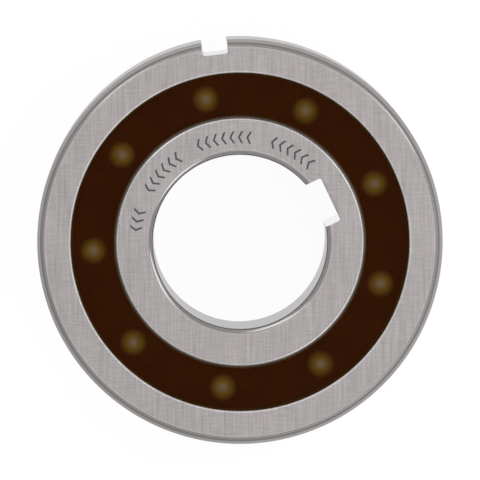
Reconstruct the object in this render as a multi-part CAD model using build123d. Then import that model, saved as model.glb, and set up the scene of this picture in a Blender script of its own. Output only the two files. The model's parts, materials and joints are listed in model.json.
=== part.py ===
from build123d import *
from math import acos, asin, cos, degrees, radians, sin, sqrt
import os

# One-way sprag clutch with its own ball bearing, all sizes in millimetres.
# The clutch lies on its rear face around the Z axis, with the middle of its width at z = 0.
# Seen from above, on its front face, x runs to the right and y runs up.

# Rings
bore_diameter = 15.0
outside_diameter = 35.0
ring_width = 11.0
pitch_circle_shift = 0.15
outside_corner_radius = 0.6
bore_corner_radius = 0.4
race_edge_chamfer = 0.15

# Balls, and the grooves ground for them into the middle of both races
ball_count = 9
first_ball_angle = 103.4
groove_depth = 0.55
groove_conformity = 0.52
ball_running_clearance = 0.04

# Keyways
shaft_keyway_width = 4.0
shaft_keyway_depth = 1.15
shaft_keyway_corner = 0.15
shaft_keyway_angle = 25.4
housing_keyway_width = 2.2
housing_keyway_depth = 1.2
housing_keyway_corner = 0.25
housing_keyway_angle = 97.4

# Cage, moulded as two like halves that meet in the middle plane
cage_recess = 0.4
cage_end_wall = 0.95
cage_outer_clearance = 0.14
cage_inner_clearance = 0.25
cage_edge_radius = 0.12
cage_bar_thickness = 0.49
ball_pocket_clearance = 0.08
peg_length = 1.0
peg_hole_clearance = 0.03

# Sprags
sprag_grip_angle = 3.5
sprag_race_clearance = 0.03
sprag_side_clearance = 0.2
sprag_end_clearance = 0.1
sprag_lug_length = 0.75

# Garter springs, one round each end of the sprags
garter_lug_clearance = 0.15
garter_channel_clearance = 0.1

# What stands between the races, in shares of the gap from one race to the other
sprag_width_share = 0.54
sprag_waist_share = 0.41
sprag_corner_share = 0.05
sprag_cam_overlap_share = 0.065
garter_coil_share = 0.15
garter_inset_share = 0.25
window_mouth_share = 0.31
window_throat_share = 0.1
peg_share = 0.075
peg_inset_share = 0.14

# The gap takes at most this share of the section from bore to rim, so that both rings keep stout walls
widest_gap_share = 0.4

# The pitch circle lies a little outside the middle of the section
bore_radius = bore_diameter / 2
outside_radius = outside_diameter / 2
half_width = ring_width / 2
pitch_radius = (bore_radius + outside_radius) / 2 + pitch_circle_shift
ball_spacing = 360 / ball_count
half_spacing = ball_spacing / 2

# From a ball's centre to the middle line of the sprag beside it stand half a ball with its groove depth
# and clearance, a cage bar, and half a sprag with its clearance: the race gap is the widest that fits
ball_to_sprag = pitch_radius * sin(radians(half_spacing))
fixed_part = groove_depth + ball_pocket_clearance + cage_bar_thickness + sprag_side_clearance
fitting_gap = (ball_to_sprag - fixed_part) / (0.5 + sprag_width_share / 2)
race_gap = min(fitting_gap, (outside_radius - bore_radius) * widest_gap_share)
inner_race_radius = pitch_radius - race_gap / 2
outer_race_radius = pitch_radius + race_gap / 2
inner_ring_wall = inner_race_radius - bore_radius
outer_ring_wall = outside_radius - outer_race_radius

# Radii and half widths that follow
ball_radius = race_gap / 2 + groove_depth
groove_radius = 2 * ball_radius * groove_conformity
inner_groove_bottom = pitch_radius - ball_radius - ball_running_clearance
outer_groove_bottom = pitch_radius + ball_radius + ball_running_clearance

cage_half_width = half_width - cage_recess
cage_outer_radius = outer_race_radius - cage_outer_clearance
cage_inner_radius = inner_race_radius + cage_inner_clearance
ball_pocket_radius = ball_radius + ball_pocket_clearance

window_mouth_radius = race_gap * window_mouth_share
window_throat_radius = race_gap * window_throat_share
peg_radius = race_gap * peg_share
peg_circle_radius = cage_outer_radius - race_gap * peg_inset_share

sprag_width = race_gap * sprag_width_share
sprag_waist = race_gap * sprag_waist_share
sprag_corner_radius = race_gap * sprag_corner_share
sprag_cam_radius = race_gap * (0.5 + sprag_cam_overlap_share)
sprag_pocket_half_width = sprag_width / 2 + sprag_side_clearance
sprag_pocket_half_length = cage_half_width - cage_end_wall
sprag_half_length = sprag_pocket_half_length - sprag_end_clearance
sprag_cam_half_length = sprag_half_length - sprag_lug_length

garter_coil_radius = race_gap * garter_coil_share / 2
garter_ring_radius = outer_race_radius - race_gap * garter_inset_share
garter_inside_radius = garter_ring_radius - garter_coil_radius
garter_height = (sprag_cam_half_length + sprag_pocket_half_length) / 2
sprag_lug_top_radius = garter_inside_radius - garter_lug_clearance


def polar(radius, angle):
    """The point at this radius, at degrees anticlockwise from the right."""
    return (radius * cos(radians(angle)), radius * sin(radians(angle)))


def turned(shape, angle):
    """The shape swung anticlockwise about the clutch's axis."""
    return Rot(0, 0, angle) * shape


def centred_extrude(sketch, half_length):
    """The sketch thickened equally up and down."""
    return extrude(sketch, half_length, both=True)


def ring_section(inside_radius, wall, groove_centre):
    """Half section of a ring, radius along x and width along y, with its ball groove."""
    middle = inside_radius + wall / 2
    block = Pos(middle, 0) * Rectangle(wall, ring_width)
    return block - Pos(groove_centre, 0) * Circle(groove_radius)


def corners_at(section, radius):
    """The two end corners of a ring's half section that lie at this radius."""
    near = [v for v in section.vertices() if abs(v.X - radius) < 1e-6]
    return [v for v in near if abs(abs(v.Y) - half_width) < 1e-6]


def revolved(section):
    """A half section swung round the clutch's axis."""
    return revolve(Plane.XZ * section, Axis.Z)


def keyway(width, floor_radius, mouth_radius, corner, angle):
    """A key slot along the whole width, from its mouth to a flat floor with rounded corners."""
    length = abs(floor_radius - mouth_radius)
    slot = Pos((floor_radius + mouth_radius) / 2, 0) * Rectangle(length, width)
    floor_corners = [v for v in slot.vertices() if abs(v.X - floor_radius) < 1e-6]
    return turned(centred_extrude(fillet(floor_corners, corner), ring_width), angle)


def make_outer_ring():
    """Outer ring: plain sprag track, ball groove, rounded outer corners and housing keyway."""
    section = ring_section(outer_race_radius, outer_ring_wall, outer_groove_bottom - groove_radius)
    section = fillet(corners_at(section, outside_radius), outside_corner_radius)
    section = chamfer(corners_at(section, outer_race_radius), race_edge_chamfer)
    floor_radius = outside_radius - housing_keyway_depth
    mouth_radius = outside_radius + housing_keyway_depth
    return revolved(section) - keyway(
        housing_keyway_width, floor_radius, mouth_radius, housing_keyway_corner, housing_keyway_angle
    )


def make_inner_ring():
    """Inner ring: plain sprag track, ball groove, rounded bore corners and shaft keyway."""
    section = ring_section(bore_radius, inner_ring_wall, inner_groove_bottom + groove_radius)
    section = fillet(corners_at(section, bore_radius), bore_corner_radius)
    section = chamfer(corners_at(section, inner_race_radius), race_edge_chamfer)
    floor_radius = bore_radius + shaft_keyway_depth
    mouth_radius = bore_radius - shaft_keyway_depth
    return revolved(section) - keyway(
        shaft_keyway_width, floor_radius, mouth_radius, shaft_keyway_corner, shaft_keyway_angle
    )


def make_ball(angle):
    """One ball, midway between the races."""
    x, y = polar(pitch_radius, angle)
    return Pos(x, y, 0) * Sphere(ball_radius)


def sprag_outline():
    """Cam outline with the sprag's own radial line along x: two cam arcs and two waisted flanks.

    The cam centres are set so that the line between the two race contacts leans by the grip angle.
    """
    grip = radians(sprag_grip_angle)
    lean = grip - asin(inner_race_radius / outer_race_radius * sin(grip))
    inner_x = inner_race_radius + sprag_race_clearance + sprag_cam_radius
    outer_reach = outer_race_radius - sprag_race_clearance - sprag_cam_radius
    outer_x = outer_reach * cos(lean)
    outer_y = -outer_reach * sin(lean)
    half = sprag_width / 2
    top_left = (outer_x + sqrt(sprag_cam_radius**2 - (half - outer_y) ** 2), half)
    top_right = (outer_x + sqrt(sprag_cam_radius**2 - (half + outer_y) ** 2), -half)
    low_x = inner_x - sqrt(sprag_cam_radius**2 - half**2)
    low_left = (low_x, half)
    low_right = (low_x, -half)
    top_cam = ThreePointArc(top_left, (outer_x + sprag_cam_radius, outer_y), top_right)
    right_flank = ThreePointArc(top_right, (pitch_radius, -sprag_waist / 2), low_right)
    low_cam = ThreePointArc(low_right, (inner_x - sprag_cam_radius, 0), low_left)
    left_flank = ThreePointArc(low_left, (pitch_radius, sprag_waist / 2), top_left)
    outline = make_face(Curve() + [top_cam, right_flank, low_cam, left_flank])
    return fillet(outline.vertices(), sprag_corner_radius)


def make_sprag(angle):
    """One sprag: the full cam across both tracks, and a low lug at each end for its garter spring."""
    outline = sprag_outline()
    body = centred_extrude(outline, sprag_cam_half_length)
    lug_depth = sprag_lug_top_radius - inner_race_radius
    lug_zone = Pos(inner_race_radius + lug_depth / 2, 0) * Rectangle(lug_depth, 2 * sprag_width)
    lugs = centred_extrude(outline & lug_zone, sprag_half_length)
    return turned(body + lugs, angle)


def make_garter_spring(side):
    """One garter spring, drawn as the plain ring that its closed coils fill; side is 1 at the front."""
    return Pos(0, 0, side * garter_height) * Torus(garter_ring_radius, garter_coil_radius)


def grease_window():
    """Bell-mouthed opening from the cage's front face down to a ball: its throat shows the ball."""
    flare = window_mouth_radius - window_throat_radius
    section = Polyline(
        (0, 0),
        (window_throat_radius, 0),
        (window_throat_radius, cage_half_width - flare),
    )
    bell = RadiusArc(section @ 1, (window_mouth_radius, cage_half_width), -flare)
    lid = Polyline(bell @ 1, (window_mouth_radius, half_width), (0, half_width), (0, 0))
    return revolve(Plane.XZ * make_face(Curve() + [section, bell, lid]), Axis.Z)


def peg_offset():
    """Degrees from a ball to the middle of the cage bar beside it, on the pegs' circle."""
    product = 2 * peg_circle_radius * pitch_radius
    reach = (peg_circle_radius**2 + pitch_radius**2 - ball_pocket_radius**2) / product
    ball_side = degrees(acos(reach))
    sprag_side = half_spacing - degrees(asin(sprag_pocket_half_width / peg_circle_radius))
    return (ball_side + sprag_side) / 2


def make_cage_half():
    """Front half of the cage: end wall, ball and sprag pockets, windows, spring channel and pegs."""
    band = Pos(0, 0, cage_half_width / 2) * (
        Cylinder(cage_outer_radius, cage_half_width) - Cylinder(cage_inner_radius, cage_half_width)
    )
    face_edges = band.faces().sort_by(Axis.Z)[-1].edges()
    half = fillet(face_edges, cage_edge_radius)
    channel_inside = garter_inside_radius - garter_channel_clearance
    channel_length = sprag_pocket_half_length - sprag_cam_half_length
    channel = Cylinder(outer_race_radius, channel_length) - Cylinder(channel_inside, channel_length)
    half -= Pos(0, 0, garter_height) * channel
    pocket = Box(2 * race_gap, 2 * sprag_pocket_half_width, 2 * sprag_pocket_half_length)
    window = grease_window()
    offset = peg_offset()
    hole = Cylinder(peg_radius + peg_hole_clearance, 2 * (peg_length + peg_hole_clearance))
    peg = Cylinder(peg_radius, 2 * peg_length)
    for index in range(ball_count):
        angle = first_ball_angle + index * ball_spacing
        half -= turned(Pos(pitch_radius, 0, 0) * Sphere(ball_pocket_radius), angle)
        half -= turned(Pos(pitch_radius, 0, 0) * window, angle)
        half -= turned(Pos(pitch_radius, 0, 0) * pocket, angle + half_spacing)
        half -= turned(Pos(peg_circle_radius, 0, 0) * hole, angle - offset)
        half += turned(Pos(peg_circle_radius, 0, 0) * peg, angle + offset)
    return half


def flipped(front_half):
    """The rear half of the cage: the same moulding turned over about the first ball's radius."""
    x, y = polar(1, first_ball_angle)
    return front_half.rotate(Axis((0, 0, 0), (x, y, 0)), 180)


def make_pieces():
    """Every piece of the clutch by name."""
    cage_front = make_cage_half()
    pieces = {
        "outer_ring": make_outer_ring(),
        "inner_ring": make_inner_ring(),
        "cage_front_half": cage_front,
        "cage_rear_half": flipped(cage_front),
        "front_garter_spring": make_garter_spring(1),
        "rear_garter_spring": make_garter_spring(-1),
    }
    for index in range(ball_count):
        angle = first_ball_angle + index * ball_spacing
        pieces[f"ball_{index + 1}"] = make_ball(angle)
        pieces[f"sprag_{index + 1}"] = make_sprag(angle + half_spacing)
    return pieces


os.makedirs("parts", exist_ok=True)
for name, piece in make_pieces().items():
    export_step(piece, f"parts/{name}.step")
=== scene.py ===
"""Looks of a one-way sprag clutch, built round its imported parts, and a stage to show it on."""

import json
from collections import namedtuple
from math import cos, pi, radians, sin, tau

import bmesh
import bpy
import numpy as np
from mathutils import Matrix, Vector


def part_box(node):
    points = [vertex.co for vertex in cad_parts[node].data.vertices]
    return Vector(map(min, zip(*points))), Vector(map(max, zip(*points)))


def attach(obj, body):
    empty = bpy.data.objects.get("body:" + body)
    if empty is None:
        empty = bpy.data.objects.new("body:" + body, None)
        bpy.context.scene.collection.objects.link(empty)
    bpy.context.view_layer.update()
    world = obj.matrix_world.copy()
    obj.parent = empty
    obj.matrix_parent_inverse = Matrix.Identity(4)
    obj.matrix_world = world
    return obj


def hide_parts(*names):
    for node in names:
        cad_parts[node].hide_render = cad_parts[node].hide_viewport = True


bl_info = {
    "name": "Sprag clutch looks",
    "version": (1, 0, 0),
    "blender": (4, 5, 0),
    "location": "View3D > Sidebar > Clutch",
    "description": "Dresses the packed sprag clutch in ground steel and moulded resin",
    "category": "Object",
}

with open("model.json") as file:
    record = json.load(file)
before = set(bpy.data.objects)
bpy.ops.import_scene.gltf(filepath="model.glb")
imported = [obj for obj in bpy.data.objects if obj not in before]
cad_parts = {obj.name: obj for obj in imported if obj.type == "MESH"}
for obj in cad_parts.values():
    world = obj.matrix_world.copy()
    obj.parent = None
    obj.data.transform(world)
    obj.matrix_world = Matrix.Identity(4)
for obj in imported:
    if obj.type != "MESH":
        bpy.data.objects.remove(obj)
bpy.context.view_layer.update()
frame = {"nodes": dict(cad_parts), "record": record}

MM = 0.001
MOUNTS = {mount["name"]: mount for mount in frame["record"]["mounts"]}
HALF_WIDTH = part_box("outer_ring")[1].z
OUTSIDE_RADIUS = MOUNTS["housing_seat"]["dims"]["r_mm"] * MM
BORE_RADIUS = MOUNTS["shaft_bore"]["dims"]["r_mm"] * MM
INNER_RACE_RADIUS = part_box("inner_ring")[1].x
BALLS = sorted(name for name in frame["nodes"] if name.startswith("ball_"))
SPRAGS = sorted(name for name in frame["nodes"] if name.startswith("sprag_"))
CAGE_HALVES = ("cage_front_half", "cage_rear_half")
GARTER_SPRINGS = ("front_garter_spring", "rear_garter_spring")


def middle(node):
    """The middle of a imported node's box."""
    low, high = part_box(node)
    return (low + high) / 2


def keyway_place(name):
    """A keyway's floor distance from the axis and its angle, from the place of its mount."""
    place = Vector(MOUNTS[name]["pos_m"])
    return place.length, float(np.arctan2(place.y, place.x))


def cage_radii():
    """The cage's inside and outside radii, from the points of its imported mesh."""
    mesh = frame["nodes"]["cage_front_half"].data
    points = np.zeros(len(mesh.vertices) * 3, np.float32)
    mesh.vertices.foreach_get("co", points)
    radius = np.hypot(points[0::3], points[1::3])
    return float(radius.min()), float(radius.max())


BALL_RADIUS = (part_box(BALLS[0])[1].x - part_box(BALLS[0])[0].x) / 2
PITCH_RADIUS = middle(BALLS[0]).length
FIRST_BALL_ANGLE = float(np.arctan2(middle(BALLS[0]).y, middle(BALLS[0]).x))
OUTER_RACE_RADIUS = 2 * PITCH_RADIUS - INNER_RACE_RADIUS


# Settings that the sidebar shows


def number_property(name, description, default, low, high):
    """A plain number for the sidebar, between low and high."""
    return bpy.props.FloatProperty(name=name, description=description, default=default, min=low, max=high)


def length_property(name, description, default, low=0.0):
    """A length for the sidebar, in metres and not less than low."""
    return bpy.props.FloatProperty(
        name=name, description=description, default=default, min=low, unit="LENGTH", precision=6)


def angle_property(name, description, default):
    """An angle for the sidebar."""
    return bpy.props.FloatProperty(name=name, description=description, default=default, unit="ROTATION")


def share_property(name, description, default):
    """A share between 0 and 1 for the sidebar."""
    return bpy.props.FloatProperty(
        name=name, description=description, default=default, min=0, max=1, subtype="FACTOR")


def colour_property(name, description, default):
    """A colour for the sidebar."""
    return bpy.props.FloatVectorProperty(
        name=name, description=description, default=default, min=0, max=1, subtype="COLOR")


class RingSettings(bpy.types.PropertyGroup):
    """Sizes and finishes of the two steel rings, with the painted reflection bands on their corners and the
    painted highlights on their edges. A roughness here is added to that of the faces.
    """

    outside_corner: length_property(
        "Outside corner", "Radius of the outer ring's outer corners", 0.6 * MM)
    bore_corner: length_property(
        "Bore corner", "Radius of the corners at both ends of the bore", 0.4 * MM)
    race_edge: length_property("Race edge", "Rounding where a face meets its race", 0.15 * MM)
    slot_edge: length_property(
        "Keyway edge", "Fine rounding of the keyways' mouths and ends", 0.03 * MM)
    shaft_slot_width: length_property(
        "Shaft keyway width", "Width of the keyway in the bore", 4.0 * MM)
    shaft_slot_corner: length_property(
        "Shaft keyway corner", "Rounding at the foot of the shaft keyway's walls", 0.15 * MM)
    housing_slot_width: length_property(
        "Housing keyway width", "Width of the keyway in the rim", 2.2 * MM)
    housing_slot_corner: length_property(
        "Housing keyway corner", "Rounding at the foot of the housing keyway's walls", 0.25 * MM)
    groove_conformity: number_property(
        "Groove conformity", "Radius of the ball groove, as a share of the ball's diameter", 0.52, 0.5, 0.6)
    running_clearance: length_property(
        "Running clearance", "Gap between a ball and the bottom of its groove", 0.04 * MM)
    face_colour: colour_property(
        "Face colour", "Steel of the ground end faces", (0.298, 0.277, 0.277))
    # Painted reflection: the corner and shoulder colours and the step between them are dark and light bands
    # along a corner's turn, standing for what the curved steel mirrors, not a steel of its own.
    rim_corner_reflection_colour: colour_property(
        "Rim corner colour", "Turned steel of the outside corners, beside the face", (0.247, 0.23, 0.23))
    rim_shoulder_reflection_colour: colour_property(
        "Rim shoulder colour", "Turned steel of the outside corners, beside the rim", (0.41, 0.392, 0.385))
    rim_step: share_property(
        "Rim step", "Share of an outside corner's turn at which its two tones meet", 0.36)
    rim_line: share_property(
        "Rim line", "Half width of the dark line between those tones, as a share of the turn", 0.07)
    rim_roughness: number_property(
        "Rim corner roughness", "Added roughness of the outside corners", 0.4, -0.3, 0.5)
    # Painted reflection bands on the bore corners, as on the outside corners.
    bore_corner_reflection_colour: colour_property(
        "Bore corner colour", "Turned steel of the bore corners, beside the face", (0.262, 0.247, 0.247))
    bore_shoulder_reflection_colour: colour_property(
        "Bore shoulder colour", "Turned steel of the bore corners, beside the bore", (0.33, 0.313, 0.308))
    bore_step: share_property(
        "Bore step", "Share of a bore corner's turn at which its two tones meet", 0.33)
    bore_line: share_property(
        "Bore line", "Half width of the dark line between those tones, as a share of the turn", 0.18)
    bore_roughness: number_property(
        "Bore corner roughness", "Added roughness of the bore corners", -0.2, -0.3, 0.5)
    # Painted dark line between the reflection bands.
    reflection_step_colour: colour_property(
        "Step colour", "Dark line between a corner's two tones", (0.1, 0.095, 0.095))
    # Painted highlight: a lighter steel colour on the race and keyway edges and on the line round each
    # face.
    edge_highlight_colour: colour_property(
        "Edge colour", "Steel of the worn edges round the faces and keyways", (0.487, 0.47, 0.461))
    edge_roughness: number_property(
        "Edge roughness", "Added roughness of the races' fine edges", 0.15, -0.3, 0.5)
    outer_edge_gloss: number_property(
        "Outer ring's edge beside the face", "Added roughness of its race edge there", 0.0, -0.3, 0.5)
    inner_edge_gloss: number_property(
        "Inner ring's edge beside the face", "Added roughness of its race edge there", -0.3, -0.3, 0.5)
    # The face line is a painted highlight; its lower roughness there is real gloss.
    face_highlight: length_property(
        "Face line", "Width of the light line where a face meets its turned corner", 0.16 * MM)
    bright_colour: colour_property(
        "Bright colour", "Steel of the ground bore, rim and races", (0.45, 0.44, 0.435))
    # Painted reflection: the keyways are painted lighter than the other steel so that their walls show as
    # white as the floor they mirror.
    slot_reflection_colour: colour_property(
        "Keyway colour", "Steel of the freshly broached keyways", (0.64, 0.635, 0.63))
    mark_colour: colour_property(
        "Mark colour", "Steel darkened by the marking laser", (0.075, 0.073, 0.073))
    round_contrast: number_property(
        "Round contrast", "Strength of the lines round the rim, bore and races", 0.35, 0, 2)
    face_contrast: number_property(
        "Face contrast", "Strength of the crossed lines on the end faces", 1.0, 0, 2)
    grazing_tint: share_property(
        "Grazing tint", "How bright the ground steel mirrors at a flat angle", 0.78)


class CageSettings(bpy.types.PropertyGroup):
    """Colours of the moulded cage with the painted glow round its windows, and sizes and colours of the
    grease on it, whose gap film carries a painted shade.
    """

    resin_colour: colour_property(
        "Resin colour", "Dark brown of the moulded resin", (0.0222, 0.0048, 0.0004))
    # Painted light round each ball window: the amber is a painted glow through the resin and the grey a
    # painted reflection of the ball.
    glow_colour: colour_property(
        "Window colour", "Lighter amber of the greased resin round each window", (0.0755, 0.04, 0.0044))
    ball_reflection_colour: colour_property(
        "Throat colour", "Grey of the grease over each window's throat", (0.094, 0.067, 0.042))
    glow_radius: length_property(
        "Window glow radius", "Distance from a window's middle at which the amber has faded", 1.25 * MM)
    window_mouth: length_property(
        "Window mouth", "Radius of a ball window's mouth in the cage's face", 1.21 * MM)
    window_throat: length_property("Window throat", "Radius of a ball window's throat", 0.39 * MM)
    grease_radius: length_property(
        "Grease radius", "Radius to which the grease is smeared over a window's mouth", 1.35 * MM)
    grease_dip: length_property(
        "Grease dip", "How far the grease sags in the middle of a window", 0.16 * MM)
    # Painted shade: the film is a sheet over the gaps beside the cage, dark where the gaps lie in shade,
    # and grey near the inner ring for its steel wall in shade.
    gap_shade_colour: colour_property(
        "Film colour", "Dark grease between the cage and the rings", (0.029, 0.0105, 0.0012))
    gap_ring_shade_colour: colour_property(
        "Film colour at the ring", "Grease where it thins out against the inner ring", (0.105, 0.09, 0.078))
    film_reach: length_property(
        "Film reach", "Distance from the inner ring at which its grey has left the grease", 0.22 * MM)
    film_depth: length_property(
        "Film depth", "How far the grease beside the cage lies below the cage's face", 0.01 * MM)


class InsideSettings(bpy.types.PropertyGroup):
    """Sizes and colours of what the cage holds: balls, sprags and the garter springs' coils."""

    ball_colour: colour_property("Ball colour", "Polished steel of the balls", (0.62, 0.61, 0.6))
    sprag_colour: colour_property("Sprag colour", "Tumbled steel of the sprags", (0.36, 0.35, 0.34))
    wire_colour: colour_property(
        "Wire colour", "Steel of the drawn spring wire", (0.46, 0.44, 0.42))
    wire_diameter: length_property("Wire diameter", "Diameter of the spring wire", 0.15 * MM)
    coil_pitch: length_property("Coil pitch", "Distance from one coil to the next", 0.165 * MM)


class StageSettings(bpy.types.PropertyGroup):
    """Camera, lamps and floor."""

    camera_distance: length_property(
        "Camera distance", "From the camera to the middle of the front face", 0.7)
    camera_tilt: angle_property(
        "Camera tilt", "How far the camera leans from the clutch's axis towards the top", radians(3.0))
    camera_swing: angle_property(
        "Camera swing", "How far the camera leans from the clutch's axis towards the left", radians(0.4))
    frame_width: length_property(
        "Frame width", "Width that the picture shows at the clutch's front face", 41.4 * MM)
    frame_lift: length_property(
        "Frame lift", "How far the picture's middle lies above the bore's axis", 0.18 * MM, -0.1)
    lamp_distance: length_property(
        "Lamp distance", "From each lamp to the middle of the clutch", 0.6)
    high_lean: angle_property(
        "High lamps' lean", "How far the high lamps lean from the clutch's axis", radians(11.5))
    low_lean: angle_property(
        "Low lamps' lean", "How far the low lamps lean from the clutch's axis", radians(41))
    high_azimuths: bpy.props.FloatVectorProperty(
        name="High lamps' azimuths", description="Directions of the high lamps round the axis",
        default=(radians(24), radians(136)), size=2, unit="ROTATION")
    low_azimuths: bpy.props.FloatVectorProperty(
        name="Low lamps' azimuths", description="Directions of the low lamps round the axis",
        default=(radians(18), radians(113), radians(311)), size=3, unit="ROTATION")
    high_size: bpy.props.FloatVectorProperty(
        name="High lamps' size", description="Width and length of each high lamp",
        default=(0.05, 0.12), size=2, min=0, unit="LENGTH")
    low_size: bpy.props.FloatVectorProperty(
        name="Low lamps' size", description="Width and length of each low lamp",
        default=(0.18, 0.48), size=2, min=0, unit="LENGTH")
    lamp_level: number_property(
        "Lamp level", "Power of every lamp over its area, in watts per square metre", 8.0, 0, 1000)
    sky_level: number_property(
        "Sky level", "Strength of the even light from all round", 0.88, 0, 10)
    floor_share: share_property(
        "Floor lamp share", "Share of the floor's white that the lamps and shadows decide", 0.06)
    floor_gap: length_property(
        "Floor gap", "How far the floor lies below the rear faces, clear of them", 0.01 * MM)
    rim_shade: share_property(
        "Rim shade", "Share of the floor's white that the rim doesn't mirror", 0.3)


# Surfaces worked out with numpy

# Points along and steps round each surface, and steps of the parts of a ring's profile and slot
CORNER_STEPS, EDGE_STEPS, GROOVE_STEPS = 12, 6, 20
SLOT_STEPS = {"edge": 4, "wall": 4, "foot": 5, "floor": 8}
RING_STEPS = 288
COIL_STEPS, WIRE_STEPS = 10, 6
LENS_POINTS, LENS_STEPS = 12, 40
FILM_POINTS, FILM_STEPS = 7, 240

# Angles between faces past which an edge is creased, in the rings, the coils and the grease
RING_CREASE, COIL_CREASE, GREASE_CREASE = radians(32), radians(80), radians(50)

# Distances in metres within which points count as one, and below which a face counts as none
DOUBLE_DISTANCE, THIN_DISTANCE = 1e-7, 1e-8


def arc(centre, radius, start, end, steps):
    """Points of a circular arc: centre plus radius times the cosine and sine of evenly spaced angles."""
    angle = np.linspace(start, end, steps + 1)
    return np.column_stack([centre[0] + radius * np.cos(angle), centre[1] + radius * np.sin(angle)])


def straight(start, end, margin):
    """The two points of a straight run that lie a small margin inside its ends, to hold the flat."""
    start, end = np.array(start), np.array(end)
    step = (end - start) / np.linalg.norm(end - start) * margin
    return np.array([start + step, end - step])


def ring_profile(pieces):
    """Joins runs of (points, zone name) into one closed profile: its points and each point's zone."""
    points = np.concatenate([run for run, _ in pieces])
    zones = np.concatenate([np.full(len(run), zone) for run, zone in pieces])
    return points, zones


def corner_turn(profile, zones, radii):
    """How far each rounded point has turned from the face, 0, to the rim, bore or race, 1.

    It is the angle whose cosine is one less the depth below the face over the rounding's radius.
    """
    turn = np.zeros(len(profile))
    for zone, radius in radii.items():
        depth = np.clip((HALF_WIDTH - np.abs(profile[:, 1])) / radius, 0, 1)
        turn = np.where(zones == zone, np.arccos(1 - depth) / (pi / 2), turn)
    return turn


def grid_object(name, grids, crease, closed=False, masks=None):
    """Grids of points as one smooth object with creased edges, each counted round its first direction.

    Face (i, j) of a grid joins points (i, j), (i + 1, j), (i + 1, j + 1) and (i, j + 1). Closed grids
    are counted round their second direction too. A mask holds one value for each point. Doubled
    points are merged and the faces turned outwards.
    """
    faces, first = [], 0
    for grid in grids:
        rows, columns = grid.shape[:2]
        index = first + np.arange(rows * columns).reshape(rows, columns)
        index = np.vstack([index, index[:1]])
        if closed:
            index = np.hstack([index, index[:, :1]])
        corners = index[:-1, :-1], index[1:, :-1], index[1:, 1:], index[:-1, 1:]
        faces.append(np.stack(corners, -1).reshape(-1, 4))
        first += rows * columns
    points = np.concatenate([grid.reshape(-1, 3) for grid in grids])
    mesh = bpy.data.meshes.new(name)
    mesh.from_pydata(points.tolist(), [], np.concatenate(faces).tolist())
    for label, values in (masks or {}).items():
        layer = mesh.attributes.new(label, "FLOAT", "POINT")
        layer.data.foreach_set("value", values.astype(np.float32).ravel())
    shape = bmesh.new()
    shape.from_mesh(mesh)
    bmesh.ops.remove_doubles(shape, verts=shape.verts, dist=DOUBLE_DISTANCE)
    bmesh.ops.dissolve_degenerate(shape, edges=shape.edges, dist=THIN_DISTANCE)
    bmesh.ops.recalc_face_normals(shape, faces=shape.faces)
    shape.to_mesh(mesh)
    shape.free()
    mesh.shade_smooth()
    mesh.set_sharp_from_angle(angle=crease)
    piece = bpy.data.objects.new(name, mesh)
    bpy.context.scene.collection.objects.link(piece)
    return piece


class Slot:
    """A key slot across a ring: which way it opens, its width, foot corners, edge rounding and place."""

    def __init__(self, mount, width, corner, edge, opens_outward):
        self.floor, self.angle = keyway_place(mount)
        self.half, self.corner, self.edge = width / 2, corner, edge
        self.sign = 1 if opens_outward else -1


def slot_outline(radius, start, half, floor, slot):
    """Half a slot's outline, x across and y outwards, from each circle to the middle of the floor.

    It leaves the circle at the angle start on a quadratic curve, whose handle is the point where the
    wall would cut the circle, and runs along the wall at the distance half from the middle line,
    round the foot corner's quarter circle and along the flat floor.
    """
    top = np.sqrt(np.maximum(radius**2 - half**2, 0))
    wall_top, wall_foot = top - slot.sign * slot.edge, floor + slot.sign * slot.corner
    t = np.linspace(0, 1, SLOT_STEPS["edge"] + 1)
    edge_x = (1 - t) ** 2 * radius * np.sin(start) + (1 - (1 - t) ** 2) * half
    edge_y = (1 - t) ** 2 * radius * np.cos(start) + 2 * t * (1 - t) * top + t**2 * wall_top
    t = np.linspace(0, 1, SLOT_STEPS["wall"] + 1)[1:]
    wall_x = half + 0 * t
    wall_y = (1 - t) * wall_top + t * wall_foot
    t = np.linspace(0, pi / 2, SLOT_STEPS["foot"] + 1)[1:]
    foot_x = half - slot.corner * (1 - np.cos(t))
    foot_y = floor + slot.sign * slot.corner * (1 - np.sin(t))
    t = np.linspace(1, 0, SLOT_STEPS["floor"] + 1)[1:]
    floor_x = (half - slot.corner) * t
    floor_y = floor + 0 * t
    return np.hstack([edge_x, wall_x, foot_x, floor_x]), np.hstack([edge_y, wall_y, foot_y, floor_y])


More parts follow.
